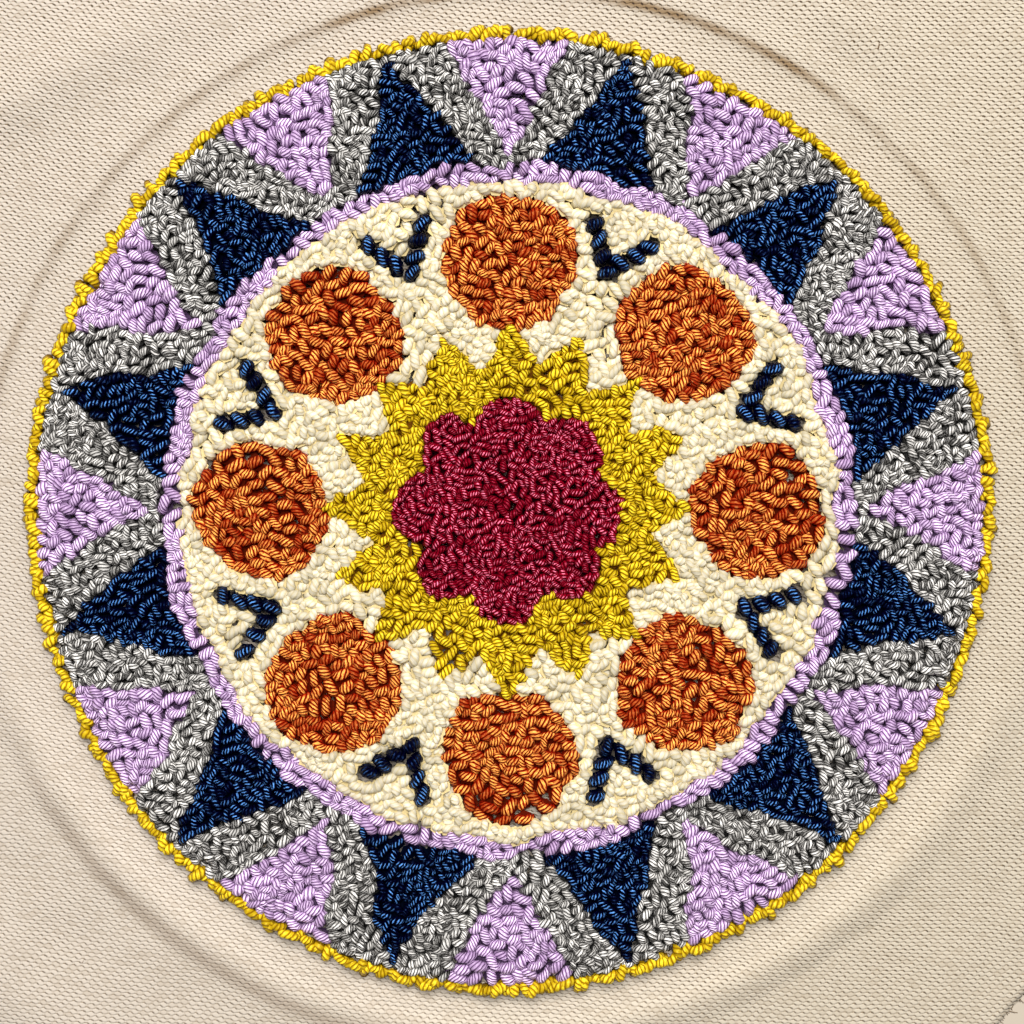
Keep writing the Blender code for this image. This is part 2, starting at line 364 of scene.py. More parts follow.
def make_plain_weave():
    """Weft floats that bulge past each other over a thinner warp, with a pinhole at the end of each float and
    painted shadow under each float.
    """
    effect, given, result = new_effect(
        "plain weave",
        {"Weft Pitch": WEFT_PITCH, "Warp Pitch": WARP_PITCH, "Wander": 1.0, "Bulge": FLOAT_BULGE},
        ("Height", "Seam", "Hole", "Float Tone", "Row Tone"),
    )
    place, x, y = place_in_mm(effect)
    swapped = join_place(y, x, 31.0)
    askew = x * ROW_SKEW + y - x * x * ROW_BOW
    leaning = x - y * COLUMN_SKEW
    wander_y = unevenness(place, *SLOW_WANDER) + unevenness(place, *WEFT_WAVER)
    wander_x = unevenness(swapped, *SLOW_WANDER) + unevenness(swapped, *WARP_WAVER)
    rows = (wander_y * given["Wander"] + askew) / given["Weft Pitch"]
    columns = (wander_x * given["Wander"] + leaning) / given["Warp Pitch"]
    odd_below = (rows.reckon("ROUND") + 1.0).reckon("FLOORED_MODULO", 2.0)
    along_below = (columns + odd_below) * math.pi
    float_below = along_below.reckon("COSINE")
    end_of_float = (along_below - 0.42 * math.pi).reckon("COSINE")
    rows = rows - float_below * given["Bulge"]
    row_number = rows.reckon("FLOOR")
    in_float = columns + row_number.reckon("FLOORED_MODULO", 2.0)
    beat = (in_float * math.pi).reckon("COSINE")
    float_number = (in_float * 0.5 + 0.5).reckon("FLOOR")
    float_tone = chance_value(join_place(float_number, row_number))
    row_tone = soft_noise(join_place(x * 0.05, row_number), 1.7)
    column_tone = soft_noise(join_place(columns, y * 0.06, 7.0), 0.55)
    arch = (rows.reckon("FRACT") * math.pi).reckon("SINE")
    weft = arch.reckon("POWER", 0.4) * beat.ease(-0.99, -0.45, 0.55, 1.0) * (float_tone * 0.3 + 0.78)
    warp = beat.ease(-0.55, -0.95, 0.0, 0.5) * (arch * 0.5 + 0.5)
    # Painted shadow: a darker line along the lower edge of each float.
    shadow_under_float = arch.ease(0.05, 0.50, 1.0, 0.0) * float_below.ease(-0.1, 0.85, 0.08, 1.0)
    shadow_under_float = shadow_under_float * (float_tone * 0.9 + 0.55)
    hole = arch.ease(0.25, 0.95, 1.0, 0.0) * end_of_float.ease(0.30, 0.92)
    hole = hole * (column_tone * 1.6 + float_tone).ease(0.55, 1.45, 0.30, 1.0)
    feed_in_order(result, (weft.reckon("MAXIMUM", warp), shadow_under_float, hole, float_tone, row_tone))
    return effect


def new_material(name, roughness):
    material = bpy.data.materials.new(name)
    material.use_nodes = True
    shader = material.node_tree.nodes["Principled BSDF"]
    feed(shader.inputs["Roughness"], roughness)
    return material, shader


def raise_surface(shader, height, depth_mm):
    bump = place_node(height.tree, "ShaderNodeBump")
    feed(bump.inputs["Distance"], depth_mm * MM)
    feed(bump.inputs["Height"], height)
    feed(shader.inputs["Normal"], Varying(bump.outputs[0]))


def hoop_stain_and_painted_light(place, x, y):
    """Shares of the brown stain with painted shade on the crease's upper side, the painted grey shade outside
    it at the lower left, and the painted light inside it below.
    """
    off_x = x - HOOP_MIDDLE[0]
    off_y = y - HOOP_MIDDLE[1]
    reach = (off_x * off_x + off_y * off_y).reckon("MAXIMUM", 1.0).reckon("SQRT")
    turned = off_y.reckon("ARCTAN2", off_x) - HOOP_OVAL_RUNS
    from_hoop = reach - (turned * 2.0).reckon("COSINE") * HOOP_OVAL
    off_brown = (from_hoop - BROWN_STAIN_AND_SHADE_RADIUS).reckon("ABSOLUTE")
    off_grey = (from_hoop - GREY_PAINTED_SHADE_RADIUS).reckon("ABSOLUTE")
    upwards = off_y / reach
    towards_top = (off_x * 0.14 + off_y) / reach
    towards_low_left = (off_x * -0.56 + off_y * -0.83) / reach
    patchy = soft_noise(place, 0.13).ease(0.3, 0.62, 0.45, 1.0)
    brown_side = upwards.ease(-0.2, 0.4, 0.0, 0.38).reckon("MAXIMUM", towards_top.ease(0.81, 0.93))
    # Brown stain with painted shade, on the upper side of the crease's inner slope.
    brown = off_brown.ease(0.1, BROWN_STAIN_AND_SHADE_HALF_WIDTH, 1.0, 0.0) * patchy * brown_side
    # Painted shade on the crease's outer slope towards the lower left.
    grey = off_grey.ease(0.2, GREY_PAINTED_SHADE_HALF_WIDTH, 1.0, 0.0) * towards_low_left.ease(0.82, 0.98, 0.0, 0.6)
    # Painted light inside the crease towards the bottom.
    painted_light = from_hoop.ease(*PAINTED_LIGHT_FADES_OVER, 1.0, 0.0) * upwards.ease(-0.1, -0.7)
    return brown, grey, painted_light


def make_canvas_material():
    material, shader = new_material("natural canvas", CANVAS_ROUGHNESS)
    weave = use_effect(material, make_plain_weave())
    place, x, y = place_in_mm(material.node_tree)
    brown_stain_and_shade_share, grey_painted_shade_share, painted_light_share = hoop_stain_and_painted_light(place, x, y)
    clear_side = x * 0.0014 + (y * 0.0036 + 0.55) + unevenness(place, 0.03, 0.9)
    clearness = clear_side.ease(0.0, 1.0, 0.55, 1.35)
    # The floats' and rows' own tones, and painted shadow under each float, stronger where the weave is
    # clearer.
    tone = weave["Float Tone"] * -0.26 + weave["Seam"] * clearness
    # Painted shade where the threads lie low between the floats.
    tone += weave["Height"].ease(0.45, 0.9, 0.20, 0.0)
    tone += weave["Row Tone"].ease(0.35, 0.7, 0.16, 0.04)
    warm_side = (y * -0.3 + x).ease(-90.0, 110.0)
    colour = blend_colours(warm_side, CANVAS_COLOUR, CANVAS_WARM_COLOUR)
    colour = blend_colours(tone, colour, CANVAS_SHADE_COLOUR)
    # The pinholes are painted dark with the shade under the canvas, more of them along the brown stain.
    hole_share = (weave["Hole"] * (clearness + brown_stain_and_shade_share * 0.6)).reckon("MINIMUM", 1.0)
    colour = blend_colours(hole_share, colour, PINHOLE_SHADE_COLOUR)
    # The brown stain with its painted shade, the painted grey shade and the painted light go over the canvas
    # in turn.
    for share, mark in ((brown_stain_and_shade_share, BROWN_STAIN_AND_SHADE), (grey_painted_shade_share, GREY_PAINTED_SHADE), (painted_light_share, PAINTED_LIGHT_INSIDE_HOOP)):
        colour = blend_colours(share, colour, mark, "MULTIPLY")
    feed(shader.inputs["Base Color"], colour)
    raise_surface(shader, weave["Height"], WEAVE_RELIEF)
    return material


canvas_edge = canvas_outline()
canvas_chance = np.random.default_rng(3)


def make_backing_cloth(material):
    middle = np.array(HOOP_MIDDLE)
    cut_line = canvas_edge + canvas_chance.uniform(-CUT_ROUGHNESS, CUT_ROUGHNESS, canvas_edge.shape)
    spokes = cut_line - middle
    turn = np.arctan2(spokes[:, 1], spokes[:, 0])
    toward = np.stack([np.cos(turn), np.sin(turn)], axis=1)
    rings = [middle + toward * radius for radius in HIDDEN_RINGS]
    rings += [middle + toward * (radius + hoop_bulge(turn))[:, None] for radius in CREASE_RINGS]
    last_crease = rings[-1]
    for step in range(1, OUTER_RINGS + 1):
        rings.append(last_crease + (cut_line - last_crease) * step / OUTER_RINGS)
    flat_places = np.concatenate([middle[None, :]] + rings)
    back = canvas_back(flat_places[:, 0], flat_places[:, 1])
    points = np.concatenate([
        np.column_stack([flat_places, back + CANVAS_THICKNESS]),
        np.column_stack([flat_places, back]),
    ])
    per_ring = len(cut_line)
    faces = []
    outermost = []
    for middle_point, is_back in ((0, False), (len(flat_places), True)):
        first_ring = middle_point + 1 + np.arange(per_ring)
        ring_numbers = [first_ring + index * per_ring for index in range(len(rings))]
        hub = np.stack([first_ring, np.roll(first_ring, -1), np.full(per_ring, middle_point)], axis=1)
        side = [ring_faces(inner, outer) for inner, outer in zip(ring_numbers, ring_numbers[1:])]
        for group in [hub] + side:
            faces += (group[:, ::-1] if is_back else group).tolist()
        outermost.append(ring_numbers[-1])
    faces += ring_faces(*outermost).tolist()
    cloth = make_piece("backing_cloth_canvas", points, faces, material)
    corners = np.concatenate([np.array(face) for face in faces])
    layout = 0.5 + points[corners][:, :2] / (2.0 * np.abs(points[:, :2]).max() + 1.0)
    lay_out(cloth, "OFBake", layout)
    return cloth


def tube_faces(count, rings, sides):
    """Faces of a number of open tubes, each with its points in rings."""
    ring = np.arange(rings - 1)[:, None] * sides
    side = np.arange(sides)[None, :]
    after = (side + 1) % sides
    one = np.stack([ring + side, ring + after, ring + sides + after, ring + sides + side], axis=-1)
    starts = np.arange(count) * rings * sides
    return (starts[:, None, None] + one.reshape(1, -1, 4)).reshape(-1, 4)


def tube_corners(rings, sides):
    """For each corner of a tube's faces, the numbers of its ring and of its side, as if cut open."""
    ring = np.arange(rings - 1)[:, None, None] + np.array([0, 0, 1, 1])
    side = np.arange(sides)[None, :, None] + np.array([0, 1, 1, 0])
    shape = (rings - 1, sides, 4)
    return np.broadcast_to(ring, shape).ravel(), np.broadcast_to(side, shape).ravel()


def sweep_tubes(centre, plane_normal, thickness, sides):
    """Points of round tubes along centre lines that each keep near a plane."""
    run = np.gradient(centre, axis=1)
    run /= np.linalg.norm(run, axis=2, keepdims=True)
    outward = np.cross(run, np.broadcast_to(plane_normal[:, None, :], run.shape))
    outward /= np.linalg.norm(outward, axis=2, keepdims=True)
    across = np.cross(outward, run)
    turn = 2.0 * math.pi * np.arange(sides) / sides
    offset = outward[:, :, None, :] * np.cos(turn)[:, None] + across[:, :, None, :] * np.sin(turn)[:, None]
    points = centre[:, :, None, :] + offset * thickness[..., None, None]
    return points.reshape(-1, 3), centre + outward * thickness[..., None]


def make_canvas_threads(name, starts, heading, length, thickness, curl, drop_to, colour):
    """Short loose cotton threads that lie on the canvas or hang out of its cut edge."""
    rings, sides = THREAD_RINGS, THREAD_SIDES
    count = len(starts)
    share = np.linspace(0.0, 1.0, rings)
    bearing = heading[:, None] + curl[:, None] * share
    step = length[:, None] / (rings - 1)
    centre = np.zeros((count, rings, 3))
    centre[:, 1:, 0] = np.cumsum(step * np.cos(bearing[:, 1:]), axis=1)
    centre[:, 1:, 1] = np.cumsum(step * np.sin(bearing[:, 1:]), axis=1)
    centre += starts[:, None, :]
    centre[..., 2] += (drop_to - starts[:, 2])[:, None] * share ** 0.7
    taper = thickness[:, None] * (1.0 - 0.45 * share ** 2)
    upright = np.broadcast_to(np.array([0.0, 0.0, 1.0]), (count, 3))
    points, _ = sweep_tubes(centre, upright, taper, sides)
    material, shader = new_material(name + " cotton", CANVAS_ROUGHNESS)
    place, _, _ = place_in_mm(material.node_tree)
    shade = tuple(0.5 * part for part in colour)
    feed(shader.inputs["Base Color"], blend_colours(soft_noise(place, 2.0), colour, shade))
    threads = make_piece(name, points, tube_faces(count, rings, sides), material)
    ring, side = tube_corners(rings, sides)
    row = np.repeat(np.arange(count), len(ring))
    layout = np.column_stack([
        0.02 + 0.96 * np.tile(ring, count) / (rings - 1),
        (row + 0.1 + 0.8 * np.tile(side, count) / sides) / count,
    ])
    lay_out(threads, "OFBake", layout)
    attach(threads, "root")
    return threads


FRAYED_THREADS = 1500
FRAYED_TURN = 0.38
FRAYED_CURL = 0.8
FRAYED_SHORTEST = 0.5
FRAYED_SPARE = 0.75
FRAYED_MOST_SPARE = 3.2
FRAYED_THICKNESS = (0.07, 0.13)
# Painted shade: the frayed ends are coloured dark brown as the shadow along the cut edge.
FRAYED_ENDS_PAINTED_SHADE = (0.22, 0.14, 0.07)
frayed_at = canvas_chance.integers(0, len(canvas_edge), FRAYED_THREADS)
frayed_share = canvas_chance.uniform(0.0, 1.0, (FRAYED_THREADS, 1))
next_on_edge = np.roll(canvas_edge, -1, axis=0)
frayed_places = canvas_edge[frayed_at] * (1.0 - frayed_share) + next_on_edge[frayed_at] * frayed_share
edge_run = next_on_edge - canvas_edge
frayed_heading = np.arctan2(-edge_run[frayed_at, 0], edge_run[frayed_at, 1])
frayed_heading += canvas_chance.normal(0.0, FRAYED_TURN, FRAYED_THREADS)
frayed_level = canvas_back(frayed_places[:, 0], frayed_places[:, 1])
frayed_level += canvas_chance.uniform(0.15, 0.42, FRAYED_THREADS)
frayed_ends = make_canvas_threads(
    "frayed_ends",
    np.column_stack([0.9985 * frayed_places, frayed_level]),
    frayed_heading,
    FRAYED_SHORTEST + canvas_chance.exponential(FRAYED_SPARE, FRAYED_THREADS).clip(0.0, FRAYED_MOST_SPARE),
    canvas_chance.uniform(*FRAYED_THICKNESS, FRAYED_THREADS),
    canvas_chance.normal(0.0, FRAYED_CURL, FRAYED_THREADS),
    np.minimum(frayed_level, canvas_chance.uniform(0.15, 0.5, FRAYED_THREADS)),
    FRAYED_ENDS_PAINTED_SHADE,
)
# Each fleck of seed husk: its x and y, the way it runs in degrees, its length and its thickness.
SEED_FLECKS = (
    (71.6, 89.5, 62, 1.25, 0.17),
    (72.3, 93.8, 20, 0.5, 0.10),
    (20.2, 91.6, 170, 1.0, 0.10),
    (88.7, 68.1, -48, 1.1, 0.08),
    (-83.0, -88.0, 35, 0.6, 0.08),
    (118.0, 60.0, 95, 1.2, 0.12),
    (-112.0, -30.0, 10, 0.9, 0.10),
)
SEED_COLOUR = (0.17, 0.085, 0.03)
fleck_x, fleck_y, fleck_runs, fleck_length, fleck_thickness = np.array(SEED_FLECKS).T
fleck_level = canvas_back(fleck_x, fleck_y) + CANVAS_THICKNESS + 0.04
seed_flecks = make_canvas_threads(
    "seed_flecks",
    np.column_stack([fleck_x, fleck_y, fleck_level]),
    np.radians(fleck_runs),
    fleck_length,
    fleck_thickness,
    np.full(len(SEED_FLECKS), 0.5),
    fleck_level,
    SEED_COLOUR,
)
backing_cloth = make_backing_cloth(make_canvas_material())
canvas_area = 0.5 * abs(np.sum(
    canvas_edge[:, 0] * next_on_edge[:, 1] - canvas_edge[:, 1] * next_on_edge[:, 0]
)) * MM * MM
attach(backing_cloth, "root")
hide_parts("backing_cloth")

# Loop pile
# Seven plied cotton yarns punched through the canvas from the back, each loop left standing on the face.
# The motifs are a lobed flower, a ring of points, round spots, a ring and two rows of triangles.
PILE_RADIUS = 91.2
PILE_FOOT = pile_low[2] / MM
PILE_HEIGHT = 4.7
PILE_RIM_DROP = 1.5
PILE_RIM_ROUND = 4.0
PILE_SWELL = 0.25
PILE_SWELL_LENGTH = 27.0
RIM_WAVER = 0.35
FLOWER_LOBES = 8
FLOWER_RADIUS = 17.6
FLOWER_LOBE_RISE = 4.4
POINT_COUNT = 16
POINT_FOOT_RADIUS = 27.6
POINT_TIP_RADIUS = 36.0
SPOT_COUNT = 8
SPOT_RADIUS = 13.3
SPOT_AT_RADIUS = 47.6
CHEVRON_POINT_RADIUS = 49.0
CHEVRON_END_RADIUS = 57.5
CHEVRON_HALF_SPREAD = 6.0
CHEVRON_KEPT_CLEAR = 1.9
GROUND_RADIUS = 63.0
RING_RADIUS = 66.8
TRIANGLE_COUNT = 12
INNER_TRIANGLE_HALF_BASE = 11.2
INNER_TRIANGLE_TIP_RADIUS = 90.0
OUTER_TRIANGLE_HALF_BASE = 12.8
OUTER_TRIANGLE_TIP_RADIUS = 68.6
OUTLINE_WANDER = 0.45
SAMPLE_STEP = 0.55
SETTLE_ROUNDS = 4
LOOP_SIDES = 7
LOOP_RINGS = 7
STITCH_LENGTH = 2.8
STITCH_WIDTH = 1.7
STITCH_SIDES = 6
STITCH_TOP = 0.64
STITCH_UNDERSIDE = 0.06
PAD_BELOW_LOOP = 0.15
PAD_SPREAD = 0.80
LOOP_UNEVENNESS = 0.08
LOOP_SWAY = 0.35
LOOP_LEAN = 0.12
LOOP_LOPSIDED = 0.18
LOOP_TURN = math.radians(30.0)
CROWN_CHANCE = (-0.5, 0.25)
RADIUS_CHANCE = (0.88, 1.06)
SPAN_LIMITS = (0.45, 1.5)
SPAN_CHANCE = (0.8, 1.15)
SUNK_LOOPS = 0.09
SUNK_DEPTH = 1.1
LOOP_KINDS = 64
KINDS_A_SIDE = 8
# Each yarn: the patch that one loop fills, the yarn's radius and how far a loop's ends go down, its plies,
# the length of one turn of them and their relief, its gloss, where painted shade starts to darken it on its
# way down, and where the painted highlight strokes on its plies start: up a ply, towards its outer side, and
# at what strength. Then its colours: of its shine, of the painted highlights, of the plies, of the painted
# shade between the plies, and of the painted shade deep between the loops.
YARN_FACTS = (
    "name", "loop_area", "radius", "depth", "plies", "lay", "ply_height", "roughness", "specular",
    "shade_from", "highlight_from", "highlight_side", "highlight_edge", "shine", "crest", "body", "groove_shade", "deep_shade",
)
YARN_ROWS = (
    (
        "grey", 3.0, 0.74, 2.1, 6.0, 4.2, 0.2, 0.26, 0.2, 0.0, 0.46, 0.25, 0.0, (1.0, 0.98, 0.95),
        (0.92, 0.89, 0.85), (0.25, 0.235, 0.215), (0.005, 0.004, 0.004), (0.001, 0.001, 0.001),
    ),
    (
        "navy", 3.7, 0.82, 2.3, 5.0, 4.0, 0.22, 0.24, 0.2, 0.1, 0.8, 0.7, 0.2, (0.13, 0.32, 1.0),
        (0.085, 0.245, 0.59), (0.0007, 0.0006, 0.0115), (0.0002, 0.0003, 0.0025), (0.0, 0.0, 0.0006),
    ),
    (
        "lilac", 4.7, 0.97, 2.2, 7.0, 5.4, 0.2, 0.24, 0.35, 0.28, 0.5, 0.3, 0.0, (1.0, 0.96, 1.0),
        (0.86, 0.67, 0.91), (0.52, 0.34, 0.58), (0.16, 0.06, 0.21), (0.014, 0.003, 0.022),
    ),
    (
        "cream", 3.6, 0.87, 0.9, 4.0, 4.2, 0.07, 0.55, 0.2, 0.3, 0.5, 0.3, 0.0, (1.0, 0.97, 0.88),
        (0.63, 0.585, 0.475), (0.60, 0.535, 0.39), (0.58, 0.49, 0.29), (0.53, 0.42, 0.20),
    ),
    (
        "orange", 4.7, 0.96, 2.2, 6.0, 5.2, 0.2, 0.24, 0.26, 0.2, 0.55, 0.22, 0.0, (1.0, 0.72, 0.2),
        (1.0, 0.46, 0.09), (0.35, 0.010, 0.002), (0.13, 0.0004, 0.0004), (0.050, 0.0002, 0.0002),
    ),
    (
        "mustard", 3.4, 0.83, 1.9, 4.0, 3.4, 0.2, 0.26, 0.26, 0.34, 0.5, 0.3, 0.0, (1.0, 0.96, 0.22),
        (0.81, 0.63, 0.030), (0.56, 0.365, 0.006), (0.21, 0.08, 0.002), (0.08, 0.02, 0.001),
    ),
    (
        "crimson", 2.3, 0.68, 2.1, 5.0, 3.2, 0.18, 0.24, 0.22, 0.15, 0.76, 0.82, 0.2, (1.0, 0.2, 0.36),
        (0.85, 0.20, 0.33), (0.22, 0.0009, 0.011), (0.05, 0.0002, 0.0008), (0.003, 0.0, 0.0),
    ),
)
YARNS = tuple(dict(zip(YARN_FACTS, row)) for row in YARN_ROWS)
GREY, NAVY, LILAC, CREAM, ORANGE, MUSTARD, CRIMSON = range(len(YARNS))
LEFT_FOR_CHEVRONS = len(YARNS)
MARL_DARK = (0.055, 0.051, 0.047)
MARL_PALE = (0.56, 0.54, 0.51)
# The painted highlight on the dark plies of the marl is dimmer.
MARL_DARK_HIGHLIGHT = (0.11, 0.105, 0.10)


def rim_radius(turn):
    return PILE_RADIUS + RIM_WAVER * (np.sin(3.0 * turn + 0.7) + 0.6 * np.sin(8.0 * turn + 2.0))


def distance_to_line(x, y, start, end):
    run_x = end[0] - start[0]
    run_y = end[1] - start[1]
    share = ((x - start[0]) * run_x + (y - start[1]) * run_y) / (run_x * run_x + run_y * run_y)
    share = np.clip(share, 0.0, 1.0)
    return np.hypot(x - start[0] - share * run_x, y - start[1] - share * run_y)


def off_spoke(reach, turn, count, offset=0.0):
    """Places measured from the nearest of a number of even spokes: along it, and across it."""
    pitch = 2.0 * math.pi / count
    from_spoke = np.mod(turn + (0.5 - offset) * pitch, pitch) - 0.5 * pitch
    return reach * np.cos(from_spoke), reach * np.sin(from_spoke)


def off_chevron(x, y):
    along, across = off_spoke(np.hypot(x, y), np.arctan2(y, x), SPOT_COUNT, 0.5)
    start = (CHEVRON_POINT_RADIUS, 0.0)
    end = (CHEVRON_END_RADIUS, CHEVRON_HALF_SPREAD)
    return distance_to_line(along, np.abs(across), start, end)


def yarn_at(x, y):
    """The number of the yarn that is worked at each place, in millimetres from the middle."""
    wander_x = OUTLINE_WANDER * (np.sin(0.31 * y + 1.0) + np.sin(0.73 * x + 0.47 * y))
    wander_y = OUTLINE_WANDER * (np.sin(0.29 * x + 2.0) + np.sin(0.67 * y - 0.41 * x))
    reach = np.hypot(x + wander_x, y + wander_y)
    turn = np.arctan2(y + wander_y, x + wander_x)
    yarn = np.full(x.shape, GREY)
    along, across = off_spoke(reach, turn, TRIANGLE_COUNT, 0.5)
    width = (INNER_TRIANGLE_TIP_RADIUS - along) / (INNER_TRIANGLE_TIP_RADIUS - RING_RADIUS)
    yarn[np.abs(across) < INNER_TRIANGLE_HALF_BASE * width] = NAVY
    along, across = off_spoke(reach, turn, TRIANGLE_COUNT)
    width = (along - OUTER_TRIANGLE_TIP_RADIUS) / (PILE_RADIUS - OUTER_TRIANGLE_TIP_RADIUS)
    yarn[np.abs(across) < OUTER_TRIANGLE_HALF_BASE * width] = LILAC
    yarn[reach < RING_RADIUS] = LILAC
    yarn[reach < GROUND_RADIUS] = CREAM
    along, across = off_spoke(reach, turn, SPOT_COUNT)
    yarn[np.hypot(along - SPOT_AT_RADIUS, across) < SPOT_RADIUS] = ORANGE
    yarn[off_chevron(x, y) < CHEVRON_KEPT_CLEAR] = LEFT_FOR_CHEVRONS
    saw = np.abs(np.mod(turn * POINT_COUNT / (2.0 * math.pi), 1.0) - 0.5) * 2.0
    yarn[reach < POINT_FOOT_RADIUS + (POINT_TIP_RADIUS - POINT_FOOT_RADIUS) * saw] = MUSTARD
    lobe = np.abs(np.cos(0.5 * FLOWER_LOBES * turn)) ** 0.7
    yarn[reach < FLOWER_RADIUS + FLOWER_LOBE_RISE * lobe] = CRIMSON
    return yarn


def pile_top(x, y):
    """Height of the loops' crowns, in millimetres."""
    reach = np.hypot(x, y)
    rim = rim_radius(np.arctan2(y, x))
    wave = 2.0 * math.pi / PILE_SWELL_LENGTH
    swell = PILE_SWELL * np.sin(wave * x + 1.1) * np.sin(wave * y)
    rounding = smooth_step(reach, rim - PILE_RIM_ROUND, rim)
    return PILE_FOOT + PILE_HEIGHT + swell - PILE_RIM_DROP * rounding


def nearest_numbers(places, samples):
    """For each sample, the number of the nearest place."""
    tree = kdtree.KDTree(len(places))
    for number, (x, y) in enumerate(places.tolist()):
        tree.insert((x, y, 0.0), number)
    tree.balance()
    return np.array([tree.find((x, y, 0.0))[1] for x, y in samples.tolist()])


def spread_loops(samples, loop_area, chance):
    """Places over an area, and the lie, half length and half width of the patch that each has to fill."""
    count = max(1, round(len(samples) * SAMPLE_STEP * SAMPLE_STEP / loop_area))
    places = samples[chance.choice(len(samples), count, replace=False)]
    for _ in range(SETTLE_ROUNDS):
        owner = nearest_numbers(places, samples)
        share = np.bincount(owner, minlength=count)
        for axis in (0, 1):
            middle = np.bincount(owner, weights=samples[:, axis], minlength=count)
            places[:, axis] = np.where(share > 0, middle / np.maximum(share, 1), places[:, axis])
    owner = nearest_numbers(places, samples)
    share = np.maximum(np.bincount(owner, minlength=count), 1)
    off = samples - places[owner]
    spread_x, spread_y, slant = (
        np.bincount(owner, weights=weights, minlength=count) / share
        for weights in (off[:, 0] ** 2, off[:, 1] ** 2, off[:, 0] * off[:, 1])
    )
    lie = 0.5 * np.arctan2(2.0 * slant, spread_x - spread_y)
    mean = 0.5 * (spread_x + spread_y)
    excess = np.hypot(0.5 * (spread_x - spread_y), slant)
    return places, lie, 2.0 * np.sqrt(mean + excess), 2.0 * np.sqrt(np.maximum(mean - excess, 0.01))


def row_directions(places, every_sample, every_yarn, number):
    """The way the rows run at each place: along the nearest edge of the motif."""
    others = every_sample[every_yarn != number]
    to_edge = others[nearest_numbers(others, places)] - places
    return np.arctan2(to_edge[:, 1], to_edge[:, 0]) + math.pi / 2.0


def loop_arches(places, heading, crown, radius, half_span, depth, rings, chance):
    """Centre lines and thickness of yarn that comes up, bends over and goes down again."""
    count = len(places)
    step = np.linspace(-1.0, 1.0, rings)
    sway = chance.uniform(-LOOP_SWAY, LOOP_SWAY, count)
    lean = chance.normal(0.0, LOOP_LEAN, (count, 2))
    lopsided = chance.normal(0.0, LOOP_LOPSIDED, count)
    along = half_span[:, None] * np.sin(0.5 * math.pi * step)
    drop = depth * np.abs(step - 0.3 * lopsided[:, None] * (1.0 - step * step)) ** 2.2
    aside = sway[:, None] * np.sin(math.pi * step)
    forward = np.stack([np.cos(heading), np.sin(heading), np.zeros(count)], axis=1)
    sideways = np.stack([-np.sin(heading), np.cos(heading), np.zeros(count)], axis=1)
    centre = forward[:, None, :] * along[..., None] + sideways[:, None, :] * aside[..., None]
    centre[..., 0] += places[:, None, 0] - lean[:, None, 0] * drop
    centre[..., 1] += places[:, None, 1] - lean[:, None, 1] * drop
    centre[..., 2] += (crown - radius)[:, None] - drop
    thickness = radius[:, None] * (1.0 - 0.12 * step * step)
    thickness = thickness * (1.0 + chance.normal(0.0, LOOP_UNEVENNESS, thickness.shape))
    return centre, sideways, thickness, np.abs(step) ** 1.6


def kind_lengths(outer_side, chance):
    """For each kind of loop, how far along the yarn each of its rings lies on the outer side."""
    length = np.linalg.norm(np.diff(outer_side, axis=1), axis=2).mean(axis=0)
    run = np.concatenate([[0.0], np.cumsum(length)])
    stretch = chance.uniform(0.86, 1.18, LOOP_KINDS)
    start = chance.uniform(0.0, 60.0, LOOP_KINDS)
    return start[:, None] + run[None, :] * stretch[:, None]


def kind_cells(across, up):
    """Corner places in each kind's own square of a flat layout."""
    kind = np.arange(LOOP_KINDS)
    column = (kind % KINDS_A_SIDE)[:, None]
    row = (kind // KINDS_A_SIDE)[:, None]
    return np.stack([column + across[None, :], row + up[None, :]], axis=-1) / KINDS_A_SIDE


def tube_layouts(run, rings, sides, top_of_cell):
    """For each kind of loop: its corners on the yarn, round it and along it in millimetres, and laid flat."""
    ring, side = tube_corners(rings, sides)
    around = np.broadcast_to(side / sides, (LOOP_KINDS, len(side)))
    on_yarn = np.stack([around, run[:, ring]], axis=-1)
    return on_yarn, kind_cells(0.03 + 0.94 * ring / (rings - 1), 0.03 + (top_of_cell - 0.03) * side / sides)


def make_plied_yarn():
    """Plies twisted round each other: rounded ridges with grooves between, and fine fibres along them."""
    effect, given, result = new_effect(
        "plied yarn",
        {"Plies": 4.0, "Lay": 2.6, "Fibre": 0.16},
        ("Height", "Ridge", "Ply Tone", "Fibre Tone", "Loop Tone", "Depth", "Outer Side"),
    )
    wound = place_node(effect, "ShaderNodeUVMap", uv_map="yarn")
    around, along, _ = split_place(Varying(wound.outputs[0]))
    loop_tone, depth = (
        outputs_by_name(place_node(effect, "ShaderNodeAttribute", attribute_name=name))["Fac"]
        for name in ("loop_tone", "depth")
    )
    phase = (around - along / given["Lay"]) * given["Plies"]
    phase += unevenness(join_place(around * 2.0, along, loop_tone), 0.9, 0.5)
    off_middle = phase.reckon("FRACT") * 2.0 - 1.0
    ridge = off_middle * off_middle * -1.0 + 1.0
    ply = phase.reckon("FLOOR").reckon("FLOORED_MODULO", given["Plies"])
    ply_tone = chance_value(join_place(ply, loop_tone * 91.0))
    fibre = soft_noise(join_place(phase * 3.0, along * 0.8), 1.6, 3.0)
    height = ridge + (fibre - 0.5) * given["Fibre"]
    outer_side = (around * (2.0 * math.pi)).reckon("COSINE")
    feed_in_order(result, (height, ridge, ply_tone, fibre, loop_tone, depth, outer_side))
    return effect


plied_yarn = make_plied_yarn()


